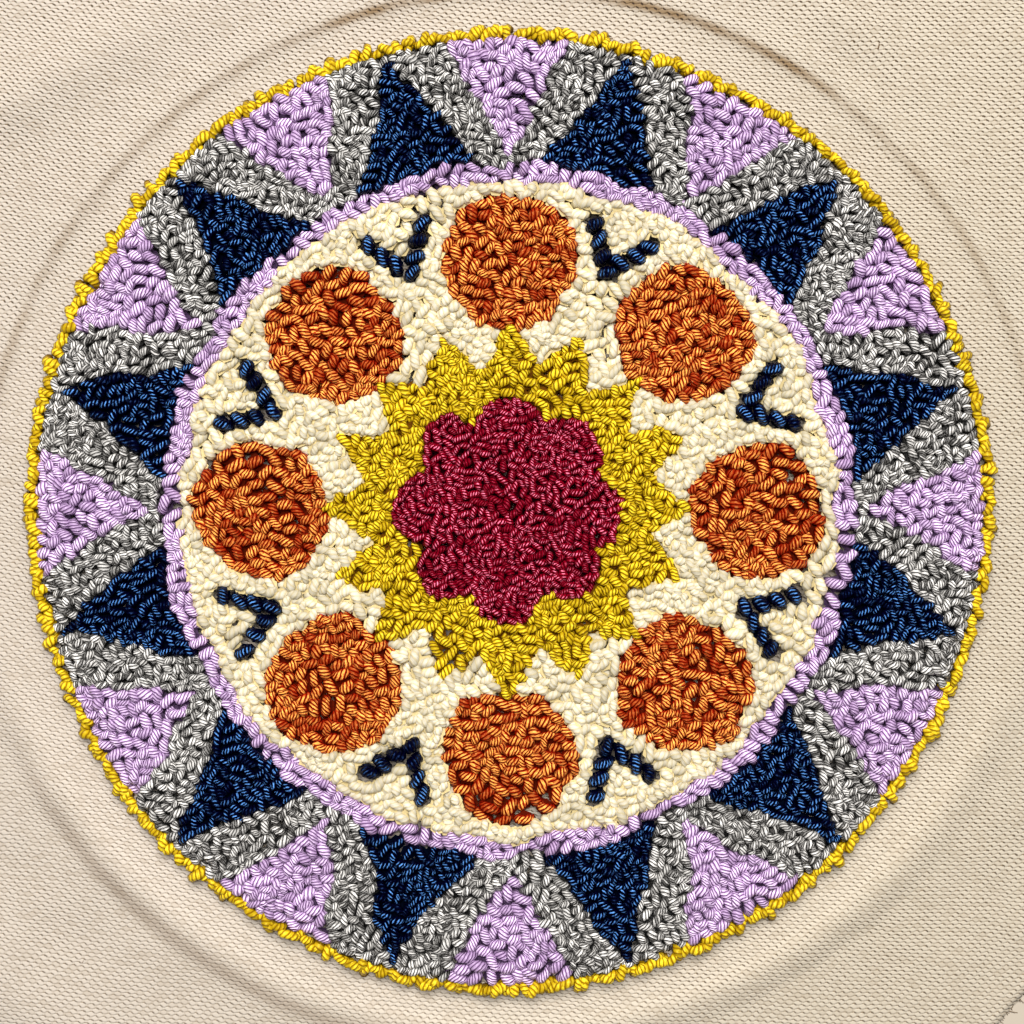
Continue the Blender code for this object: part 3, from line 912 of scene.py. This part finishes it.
def make_yarn_material(yarn):
    """Plies with painted shade in their grooves, painted highlight strokes along their crests, and painted
    shade on the way down a loop.
    """
    material, shader = new_material(yarn["name"] + " yarn", yarn["roughness"])
    feed(shader.inputs["Specular IOR Level"], yarn["specular"])
    feed(shader.inputs["Specular Tint"], yarn["shine"])
    twist = use_effect(material, plied_yarn, Plies=yarn["plies"], Lay=yarn["lay"])
    ridge, depth = twist["Ridge"], twist["Depth"]
    fibre, loop = twist["Fibre Tone"], twist["Loop Tone"]
    body = yarn["body"]
    crest = yarn["crest"]
    if yarn["name"] == "grey":
        marled = (twist["Ply Tone"] + fibre).ease(0.70, 1.10)
        body = blend_colours(marled, MARL_DARK, MARL_PALE)
        crest = blend_colours(marled, MARL_DARK_HIGHLIGHT, yarn["crest"])
    # Painted shade in the grooves between the plies.
    colour = blend_colours(ridge.ease(0.18, 0.72), yarn["groove_shade"], body)
    # Painted highlight: pale strokes along the ply crests on the top and outer side of each loop, brighter on
    # some loops and fibres.
    crest_share = ridge.ease(yarn["highlight_from"], 0.27 * yarn["highlight_from"] + 0.73)
    on_top = depth.ease(0.10, 0.60, 1.0, 0.0) * twist["Outer Side"].ease(yarn["highlight_side"], 0.97)
    glints = fibre.ease(0.36, 0.58, 0.10, 1.0) * loop.ease(0.0, 0.5, 0.3, 1.0)
    crest_share = (crest_share * (on_top * glints)).ease(yarn["highlight_edge"], 1.0 - 1.2 * yarn["highlight_edge"])
    colour = blend_colours(crest_share, colour, crest)
    # Painted shade: the yarn darkens towards the loops' feet and on the pads below them, where shade falls
    # between the loops; it is also made rough there.
    sunk = depth.ease(yarn["shade_from"], 1.0, 0.0, 0.95)
    colour = blend_colours(sunk, colour, yarn["deep_shade"])
    feed(shader.inputs["Base Color"], scaled(colour, (loop * 0.40 + 0.80) * (fibre * 0.5 + 0.76)))
    sleek = fibre.ease(0.3, 0.7, 1.35 * yarn["roughness"], 0.8 * yarn["roughness"])
    feed(shader.inputs["Roughness"], sleek.reckon("MAXIMUM", sunk))
    raise_surface(shader, twist["Height"] * depth.ease(0.7, 1.0, 1.0, 0.1), yarn["ply_height"])
    return material


yarn_materials = {yarn["name"]: make_yarn_material(yarn) for yarn in YARNS}


def finish_yarn(piece, layouts, kind, depth):
    """Give a yarn piece its corner layouts and each loop's tone and depth, and fix it to the work."""
    for layer_name, layout in zip(("yarn", "OFBake"), layouts):
        lay_out(piece, layer_name, layout)
    for name, values in (("loop_tone", (kind + 0.5) / LOOP_KINDS), ("depth", depth)):
        attribute = piece.data.attributes.new(name, "FLOAT", "POINT")
        attribute.data.foreach_set("value", np.asarray(values, dtype=np.float32))
    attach(piece, "root")


def pads_and_stitches(places, rows, pad_reach, pad_level):
    """Below each loop: a pad of packed yarn feet, and a flat stitch on the back of the canvas."""
    turn = 2.0 * math.pi * np.arange(STITCH_SIDES) / STITCH_SIDES
    along = np.stack([np.cos(rows), np.sin(rows)], axis=1)[:, None, :]
    across = np.stack([-np.sin(rows), np.cos(rows)], axis=1)[:, None, :]
    levels = (
        (pad_reach, pad_reach, pad_level),
        (0.5 * STITCH_LENGTH, 0.5 * STITCH_WIDTH, np.full(len(places), STITCH_TOP)),
        (0.36 * STITCH_LENGTH, 0.3 * STITCH_WIDTH, np.full(len(places), STITCH_UNDERSIDE)),
    )
    rings = []
    for half_length, half_width, level in levels:
        flat = along * (half_length * np.cos(turn))[:, None] + across * (half_width * np.sin(turn))[:, None]
        flat = flat + places[:, None, :]
        height = np.broadcast_to(level[:, None, None], (*flat.shape[:2], 1))
        rings.append(np.concatenate([flat, height], axis=2))
    points = np.stack(rings, axis=1).reshape(-1, 3)
    # The pad's points are numbered first, then those of the stitch next to the canvas and on its outside.
    side = np.arange(STITCH_SIDES)
    after = (side + 1) % STITCH_SIDES
    pad = np.array([[0, 1, 2, 3], [0, 3, 4, 5]])
    wall = np.stack([6 + side, 12 + side, 12 + after, 6 + after], axis=1)
    under = np.array([[15, 14, 13, 12], [17, 16, 15, 12]])
    one = np.concatenate([pad, wall, under])
    starts = np.arange(len(places)) * 3 * STITCH_SIDES
    faces = (starts[:, None, None] + one[None]).reshape(-1, 4)
    point = one.ravel()
    cos, sin = np.cos(turn)[point % 6], np.sin(turn)[point % 6]
    yarn_place = np.stack([0.5 + 0.2 * sin, 1.3 * cos], axis=-1)
    on_yarn = np.broadcast_to(yarn_place, (LOOP_KINDS, *yarn_place.shape))
    on_yarn = on_yarn + np.arange(LOOP_KINDS)[:, None, None] * (0.0, 0.37)
    wall_side = (side[:, None] + np.array([0, 0, 1, 1])).ravel()
    wall_up = np.tile([0.0, 1.0, 1.0, 0.0], STITCH_SIDES)
    flat_across = np.concatenate([0.17 + 0.13 * cos[:8], 0.34 + 0.32 * wall_side / 6, 0.83 + 0.13 * cos[-8:]])
    flat_up = np.concatenate([0.87 + 0.10 * sin[:8], 0.77 + 0.20 * wall_up, 0.87 + 0.10 * sin[-8:]])
    return points, faces, (on_yarn, kind_cells(flat_across, flat_up))


def make_loops(name, yarn, places, rows, heading, crown, radius, half_span, rings, chance):
    """A piece of standing yarn loops with the pads and stitches below them."""
    count = len(places)
    centre, sideways, thickness, ring_depth = loop_arches(
        places, heading, crown, radius, half_span, yarn["depth"], rings, chance
    )
    points, outer_side = sweep_tubes(centre, sideways, thickness, LOOP_SIDES)
    tube_layout = tube_layouts(kind_lengths(outer_side, chance), rings, LOOP_SIDES, 0.73)
    pad_level = crown - yarn["depth"] - PAD_BELOW_LOOP + chance.uniform(-0.15, 0.15, count)
    pad_reach = PAD_SPREAD * math.sqrt(yarn["loop_area"])
    more_points, more_faces, more_layout = pads_and_stitches(places, rows, pad_reach, pad_level)
    kind = chance.integers(0, LOOP_KINDS, count)
    piece = make_piece(
        name,
        np.concatenate([points, more_points]),
        np.concatenate([tube_faces(count, rings, LOOP_SIDES), more_faces + len(points)]),
        yarn_materials[yarn["name"]],
    )
    layouts = tuple(
        np.concatenate([first[kind].reshape(-1, 2), second[kind].reshape(-1, 2)])
        for first, second in zip(tube_layout, more_layout)
    )
    loop_kind = np.concatenate([np.repeat(kind, rings * LOOP_SIDES), np.repeat(kind, 3 * STITCH_SIDES)])
    # Each point's depth also sets its share of painted shade: full on the pads, little on the stitches.
    depth = np.concatenate([
        np.tile(np.repeat(ring_depth, LOOP_SIDES), count),
        np.tile(np.repeat([1.0, 0.25, 0.1], STITCH_SIDES), count),
    ])
    finish_yarn(piece, layouts, loop_kind, depth)
    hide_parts("loop_pile")


def work_yarn(number, every_sample, every_yarn):
    """Work all the loops of one yarn."""
    yarn = YARNS[number]
    chance = np.random.default_rng(100 + number)
    own_samples = every_sample[every_yarn == number]
    places, lie, half_length, half_width = spread_loops(own_samples, yarn["loop_area"], chance)
    rows = row_directions(places, every_sample, every_yarn, number)
    count = len(places)
    heading = lie + chance.normal(0.0, LOOP_TURN, count)
    crown = pile_top(places[:, 0], places[:, 1]) + chance.uniform(*CROWN_CHANCE, count)
    crown -= SUNK_DEPTH * (chance.random(count) < SUNK_LOOPS)
    radius = np.clip(half_width, 0.90 * yarn["radius"], 1.12 * yarn["radius"])
    radius *= chance.uniform(*RADIUS_CHANCE, count)
    half_span = np.clip(1.15 * half_length - 0.62 * radius, *SPAN_LIMITS)
    half_span *= chance.uniform(*SPAN_CHANCE, count)
    name = yarn["name"] + "_loops"
    make_loops(name, yarn, places, rows, heading, crown, radius, half_span, LOOP_RINGS, chance)


grid_steps = np.arange(-PILE_RADIUS - 1.0, PILE_RADIUS + 1.0, SAMPLE_STEP)
grid_x, grid_y = (axis.ravel() for axis in np.meshgrid(grid_steps, grid_steps))
inside_rim = np.hypot(grid_x, grid_y) < rim_radius(np.arctan2(grid_y, grid_x)) - 0.1
pile_samples = np.column_stack([grid_x, grid_y])[inside_rim]
pile_yarns = yarn_at(pile_samples[:, 0], pile_samples[:, 1])
for yarn_number in range(len(YARNS)):
    work_yarn(yarn_number, pile_samples, pile_yarns)

# Raised chevrons
# Eight bent bars of navy yarn between the spots, each a single row of long fat loops packed side by side,
# so that they stand about a millimetre proud of the cream ground.
CHEVRON_RISE = 1.0
CHEVRON_LOOP_PITCH = 3.25
CHEVRON_LOOPS_AN_ARM = 3
CHEVRON_LOOP_RADIUS = 1.22
CHEVRON_LOOP_HALF_SPAN = 1.15
CHEVRON_LOOP_SLANT = math.radians(-53.0)
CHEVRON_LOOP_TURN = 0.14
CHEVRON_LOOP_RINGS = 11


def make_chevrons():
    chance = np.random.default_rng(41)
    arm_turn = math.atan2(CHEVRON_HALF_SPREAD, CHEVRON_END_RADIUS - CHEVRON_POINT_RADIUS)
    spots = []
    for number in range(SPOT_COUNT):
        spoke = 2.0 * math.pi * (number + 0.5) / SPOT_COUNT
        for hand in (-1.0, 1.0):
            for loop in range(0 if hand > 0.0 else 1, CHEVRON_LOOPS_AN_ARM + 1):
                along = loop * CHEVRON_LOOP_PITCH
                reach = CHEVRON_POINT_RADIUS + along * math.cos(arm_turn)
                aside = hand * along * math.sin(arm_turn)
                x = reach * math.cos(spoke) - aside * math.sin(spoke)
                y = reach * math.sin(spoke) + aside * math.cos(spoke)
                spots.append((x, y, spoke + hand * arm_turn * (1.0 if loop else 0.0)))
    spots = np.array(spots)
    count = len(spots)
    places = spots[:, :2] + chance.normal(0.0, 0.15, (count, 2))
    heading = spots[:, 2] + CHEVRON_LOOP_SLANT + chance.normal(0.0, CHEVRON_LOOP_TURN, count)
    crown = pile_top(places[:, 0], places[:, 1]) + CHEVRON_RISE + chance.uniform(-0.2, 0.2, count)
    make_loops(
        "chevron_loops", YARNS[NAVY], places, spots[:, 2], heading, crown,
        CHEVRON_LOOP_RADIUS * chance.uniform(0.95, 1.05, count),
        CHEVRON_LOOP_HALF_SPAN * chance.uniform(0.9, 1.15, count), CHEVRON_LOOP_RINGS, chance,
    )


make_chevrons()

# Edge row
# Small mustard loops worked round the rim as a finishing line, so close that they ride over each other.
# They lean out over the canvas, some along the rim and some across it.
EDGE_LOOPS = 400
EDGE_RINGS = 10
EDGE_FOOT_OUT = 0.95
EDGE_CROWN = 3.0
EDGE_LOOP_DEPTH = 2.3
EDGE_LOOP_HALF_SPAN = 1.10
EDGE_YARN_RADIUS = 0.93
EDGE_SLANT = math.radians(42.0)
EDGE_TURN = 0.8
EDGE_FOOT_CHANCE = (-0.6, 0.55)
EDGE_CROWN_CHANCE = (-0.9, 0.6)
# The edge yarn's own plies and colours, with its painted shade in the grooves and deep between the loops.
EDGE_YARN = {
    **YARNS[MUSTARD], "name": "edge", "plies": 3.0, "lay": 3.0, "ply_height": 0.14, "shade_from": 0.12,
    "body": (0.54, 0.34, 0.006), "groove_shade": (0.28, 0.13, 0.002), "deep_shade": (0.07, 0.018, 0.001),
}


def make_edge_row():
    chance = np.random.default_rng(7)
    count = EDGE_LOOPS
    turn = 2.0 * math.pi * (np.arange(count) + chance.uniform(-0.35, 0.35, count)) / count
    reach = rim_radius(turn) + EDGE_FOOT_OUT + chance.uniform(*EDGE_FOOT_CHANCE, count)
    places = np.column_stack([reach * np.cos(turn), reach * np.sin(turn)])
    heading = turn + math.pi / 2.0 + EDGE_SLANT + chance.normal(0.0, EDGE_TURN, count)
    crown = PILE_FOOT + EDGE_CROWN + chance.uniform(*EDGE_CROWN_CHANCE, count)
    centre, sideways, thickness, ring_depth = loop_arches(
        places, heading, crown, EDGE_YARN_RADIUS * chance.uniform(0.85, 1.12, count),
        EDGE_LOOP_HALF_SPAN * chance.uniform(0.7, 1.4, count), EDGE_LOOP_DEPTH, EDGE_RINGS, chance,
    )
    points, outer_side = sweep_tubes(centre, sideways, thickness, LOOP_SIDES)
    points[:, 2] = np.maximum(points[:, 2], CANVAS_THICKNESS + 0.02)
    faces = tube_faces(count, EDGE_RINGS, LOOP_SIDES)
    piece = make_piece("edge_row_loops", points, faces, make_yarn_material(EDGE_YARN))
    kind = chance.integers(0, LOOP_KINDS, count)
    layouts = tuple(
        layout[kind].reshape(-1, 2)
        for layout in tube_layouts(kind_lengths(outer_side, chance), EDGE_RINGS, LOOP_SIDES, 0.97)
    )
    depth = np.tile(np.repeat(ring_depth, LOOP_SIDES), count)
    finish_yarn(piece, layouts, np.repeat(kind, EDGE_RINGS * LOOP_SIDES), depth)
    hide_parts("edge_row")


make_edge_row()

# The surface and the light
# A plain pale surface under the work, and soft light that comes mostly from beyond its top edge.
SURFACE_HALF_SIDE = 1500.0
SURFACE_COLOUR = (0.45, 0.39, 0.31)
WINDOW_PLACE = (-0.01, 0.42, 1.05)
WINDOW_SIDE = 0.80
WINDOW_POWER = 27.0
WINDOW_COLOUR = (1.0, 0.985, 0.965)
ROOM_COLOUR = (0.90, 0.93, 1.0)
ROOM_STRENGTH = 0.07

surface_material, surface_shader = new_material("plain surface", 0.7)
feed(surface_shader.inputs["Base Color"], SURFACE_COLOUR)
surface_corners = [
    (side * SURFACE_HALF_SIDE, way * SURFACE_HALF_SIDE, 0.0)
    for side, way in ((-1.0, -1.0), (1.0, -1.0), (1.0, 1.0), (-1.0, 1.0))
]
make_piece("surface", surface_corners, [(0, 1, 2, 3)], surface_material)

window = bpy.data.lights.new("window_light", "AREA")
window.shape = "SQUARE"
window.size = WINDOW_SIDE
window.energy = WINDOW_POWER
window.color = WINDOW_COLOUR
window_light = put_in_scene("window_light", window)
window_light.location = WINDOW_PLACE
window_light.rotation_euler = Vector(WINDOW_PLACE).to_track_quat("Z", "Y").to_euler()

room = bpy.data.worlds.new("room")
bpy.context.scene.world = room
room.use_nodes = True
background = room.node_tree.nodes["Background"]
feed(background.inputs["Color"], ROOM_COLOUR)
feed(background.inputs["Strength"], ROOM_STRENGTH)
bpy.context.scene.view_settings.view_transform = "Standard"
